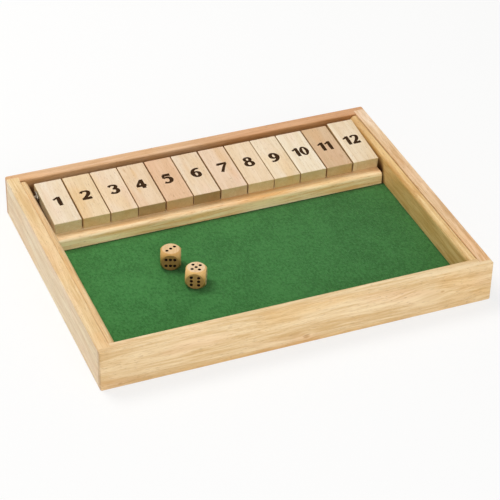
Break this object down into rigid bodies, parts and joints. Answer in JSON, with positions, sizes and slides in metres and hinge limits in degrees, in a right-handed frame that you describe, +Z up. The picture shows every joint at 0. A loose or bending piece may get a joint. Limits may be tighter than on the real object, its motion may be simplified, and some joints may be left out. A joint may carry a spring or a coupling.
{
  "type": "shut the box game",
  "caption": "Shallow wooden tray with a felt floor, a row of numbered tiles that flip over on a steel rod, and loose dice.",
  "frame": {"origin": "centre of the underside of the frame, on the surface it stands on", "axes": "+X along the row of tiles from the lowest number to the highest, +Y to the back wall, +Z up"},
  "size_m": [0.32, 0.2466, 0.0363],
  "materials": {
    "front_wall": "clear satin lacquer",
    "back_wall": "clear satin lacquer",
    "left_wall": "clear satin lacquer",
    "right_wall": "clear satin lacquer",
    "base_panel": "dark brown hardboard",
    "felt_mat": "green felt",
    "left_strip": "clear satin lacquer",
    "right_strip": "clear satin lacquer",
    "stop_rail": "clear satin lacquer",
    "hinge_rod": "plain steel",
    "rod_washer": "plain steel",
    "tile_01": "clear satin lacquer",
    "tile_02": "clear satin lacquer",
    "tile_03": "clear satin lacquer",
    "tile_04": "clear satin lacquer",
    "tile_05": "clear satin lacquer",
    "tile_06": "clear satin lacquer",
    "tile_07": "clear satin lacquer",
    "tile_08": "clear satin lacquer",
    "tile_09": "clear satin lacquer",
    "tile_10": "clear satin lacquer",
    "tile_11": "clear satin lacquer",
    "tile_12": "clear satin lacquer",
    "die_1": "clear satin lacquer",
    "die_2": "clear satin lacquer"
  },
  "bodies": {
    "box": {"front_wall": "front_wall", "back_wall": "back_wall", "left_wall": "left_wall", "right_wall": "right_wall", "base_panel": "base_panel", "felt_mat": "felt_mat", "left_strip": "left_strip", "right_strip": "right_strip", "stop_rail": "stop_rail", "hinge_rod": "hinge_rod"},
    "washer": {"rod_washer": "rod_washer"},
    "tile_01": {"tile_01": "tile_01"},
    "tile_02": {"tile_02": "tile_02"},
    "tile_03": {"tile_03": "tile_03"},
    "tile_04": {"tile_04": "tile_04"},
    "tile_05": {"tile_05": "tile_05"},
    "tile_06": {"tile_06": "tile_06"},
    "tile_07": {"tile_07": "tile_07"},
    "tile_08": {"tile_08": "tile_08"},
    "tile_09": {"tile_09": "tile_09"},
    "tile_10": {"tile_10": "tile_10"},
    "tile_11": {"tile_11": "tile_11"},
    "tile_12": {"tile_12": "tile_12"},
    "die_1": {"die_1": "die_1"},
    "die_2": {"die_2": "die_2"}
  },
  "joints": [
    {"name": "flip_01", "type": "hinge", "parent": "box", "child": "tile_01", "pos_m": [-0.12932, 0.09425, 0.02905], "axis": [-1, 0, 0], "range_deg": [0, 152]},
    {"name": "flip_02", "type": "hinge", "parent": "box", "child": "tile_02", "pos_m": [-0.10541, 0.09425, 0.02905], "axis": [-1, 0, 0], "range_deg": [0, 152]},
    {"name": "flip_03", "type": "hinge", "parent": "box", "child": "tile_03", "pos_m": [-0.0819, 0.09425, 0.02905], "axis": [-1, 0, 0], "range_deg": [0, 152]},
    {"name": "flip_04", "type": "hinge", "parent": "box", "child": "tile_04", "pos_m": [-0.0585, 0.09425, 0.02905], "axis": [-1, 0, 0], "range_deg": [0, 152]},
    {"name": "flip_05", "type": "hinge", "parent": "box", "child": "tile_05", "pos_m": [-0.03474, 0.09425, 0.02905], "axis": [-1, 0, 0], "range_deg": [0, 152]},
    {"name": "flip_06", "type": "hinge", "parent": "box", "child": "tile_06", "pos_m": [-0.01123, 0.09425, 0.02905], "axis": [-1, 0, 0], "range_deg": [0, 152]},
    {"name": "flip_07", "type": "hinge", "parent": "box", "child": "tile_07", "pos_m": [0.01263, 0.09425, 0.02905], "axis": [-1, 0, 0], "range_deg": [0, 152]},
    {"name": "flip_08", "type": "hinge", "parent": "box", "child": "tile_08", "pos_m": [0.03629, 0.09425, 0.02905], "axis": [-1, 0, 0], "range_deg": [0, 152]},
    {"name": "flip_09", "type": "hinge", "parent": "box", "child": "tile_09", "pos_m": [0.05955, 0.09425, 0.02905], "axis": [-1, 0, 0], "range_deg": [0, 152]},
    {"name": "flip_10", "type": "hinge", "parent": "box", "child": "tile_10", "pos_m": [0.08305, 0.09425, 0.02905], "axis": [-1, 0, 0], "range_deg": [0, 152]},
    {"name": "flip_11", "type": "hinge", "parent": "box", "child": "tile_11", "pos_m": [0.10671, 0.09425, 0.02905], "axis": [-1, 0, 0], "range_deg": [0, 152]},
    {"name": "flip_12", "type": "hinge", "parent": "box", "child": "tile_12", "pos_m": [0.13052, 0.09425, 0.02905], "axis": [-1, 0, 0], "range_deg": [0, 150]},
    {"name": "washer_spin", "type": "hinge", "parent": "box", "child": "washer", "pos_m": [-0.14233, 0.09425, 0.02905], "axis": [1, 0, 0], "continuous": true},
    {"name": "die_1_lift", "type": "slide", "parent": "box", "child": "die_1", "axis": [0, 0, 1], "range_m": [0, 0.03]},
    {"name": "die_2_lift", "type": "slide", "parent": "box", "child": "die_2", "axis": [0, 0, 1], "range_m": [0, 0.03]}
  ]
}
